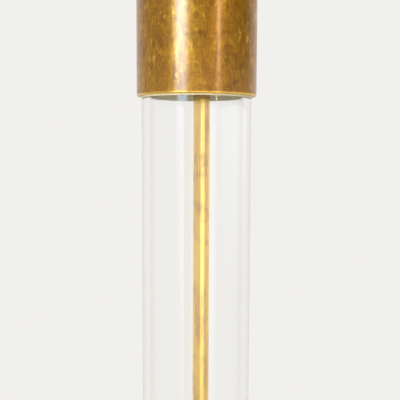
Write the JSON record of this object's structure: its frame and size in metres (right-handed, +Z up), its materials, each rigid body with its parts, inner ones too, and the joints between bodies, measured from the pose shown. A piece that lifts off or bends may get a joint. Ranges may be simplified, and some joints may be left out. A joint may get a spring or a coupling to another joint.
{
  "type": "glass column floor lamp",
  "caption": "Floor lamp with a clear glass column between aged brass cups, a brass tube inside it, a round weighted foot, a linen drum shade on a harp and a turn-knob socket.",
  "frame": {"origin": "on the floor, on the axis of the lamp pipe, under the middle of the shade", "axes": "+Z up along the lamp pipe, -Y towards the switch knob, +X along the harp's width"},
  "size_m": [0.4313, 0.4312, 1.5221],
  "materials": {
    "brass_aged": "unlacquered brass, aged and mottled, satin",
    "brass_polished": "polished brass tube",
    "brass_plain": "bright brass plate",
    "glass_clear": "clear drawn glass, polished",
    "glass_opal": "opal white glass",
    "steel_zinc": "zinc-plated steel",
    "shade_wire": "white powder-coated steel wire",
    "iron_cast": "rough cast, black paint",
    "pad_felt": "dense black felt",
    "rubber_dark": "matt black rubber",
    "sleeve_pale": "pale translucent silicone strip",
    "phenolic_black": "moulded black phenolic",
    "liner_card": "brown insulating card",
    "aluminium_bright": "bright rolled aluminium",
    "bulb_core": "white light source",
    "wire_cover": "pale insulation",
    "terminal_plastic": "moulded, off-white",
    "linen": "natural off-white linen weave",
    "shade_white": "white styrene, matt"
  },
  "bodies": {
    "stand": {"foot_pad": "pad_felt", "base_cover": "steel_zinc", "cover_screws": "steel_zinc", "base_weight": "iron_cast", "base_shell": "brass_aged", "cord_inlet_bush": "rubber_dark", "terminal_block": "terminal_plastic", "terminal_screws": "steel_zinc", "base_washer": "steel_zinc", "base_nut": "steel_zinc", "plinth": "brass_aged", "lower_cup": "brass_aged", "lower_gasket": "rubber_dark", "lower_sleeve": "sleeve_pale", "glass_tube": "glass_clear", "lamp_pipe": "brass_polished", "supply_wire_left": "wire_cover", "supply_wire_right": "wire_cover", "upper_sleeve": "sleeve_pale", "upper_gasket": "rubber_dark", "upper_cup": "brass_aged", "cup_washer": "steel_zinc", "column_nut": "steel_zinc", "neck_collar": "brass_aged", "stem_sleeve": "brass_aged", "stem_ring": "brass_aged", "harp_saddle": "brass_plain", "harp": "brass_plain", "harp_stud": "brass_plain", "socket_cap": "brass_plain", "socket_set_screw": "brass_plain", "socket_shell": "brass_plain", "socket_liner": "liner_card", "socket_core": "phenolic_black", "socket_terminal_screws": "brass_plain", "screw_shell": "aluminium_bright", "centre_contact": "brass_plain"},
    "switch": {"switch_shaft": "steel_zinc", "switch_knob": "phenolic_black"},
    "ferrule_left": {"harp_ferrule_left": "brass_plain"},
    "ferrule_right": {"harp_ferrule_right": "brass_plain"},
    "bulb": {"bulb_tip": "aluminium_bright", "bulb_insulator": "phenolic_black", "bulb_cap": "aluminium_bright", "bulb_glass": "glass_opal", "bulb_light_core": "bulb_core"},
    "shade": {"shade_linen": "linen", "shade_backing": "shade_white", "shade_bottom_ring": "shade_wire", "shade_spider": "shade_wire", "shade_bottom_trim": "linen", "shade_top_trim": "linen", "shade_washer": "brass_plain"},
    "finial": {"finial": "brass_aged"}
  },
  "joints": [
    {"name": "switch_turn", "type": "hinge", "parent": "stand", "child": "switch", "pos_m": [0, -0.019, 1.2935], "axis": [0, -1, 0], "continuous": true},
    {"name": "ferrule_left_lift", "type": "slide", "parent": "stand", "child": "ferrule_left", "axis": [0, 0, 1], "range_m": [0, 0.011]},
    {"name": "ferrule_right_lift", "type": "slide", "parent": "stand", "child": "ferrule_right", "axis": [0, 0, 1], "range_m": [0, 0.011]},
    {"name": "bulb_lift", "type": "slide", "parent": "stand", "child": "bulb", "axis": [0, 0, 1], "range_m": [0, 0.03]},
    {"name": "shade_turn", "type": "hinge", "parent": "stand", "child": "shade", "pos_m": [0, 0, 1.4949], "axis": [0, 0, 1], "continuous": true},
    {"name": "finial_turn", "type": "hinge", "parent": "stand", "child": "finial", "pos_m": [0, 0, 1.5], "axis": [0, 0, 1], "continuous": true}
  ]
}
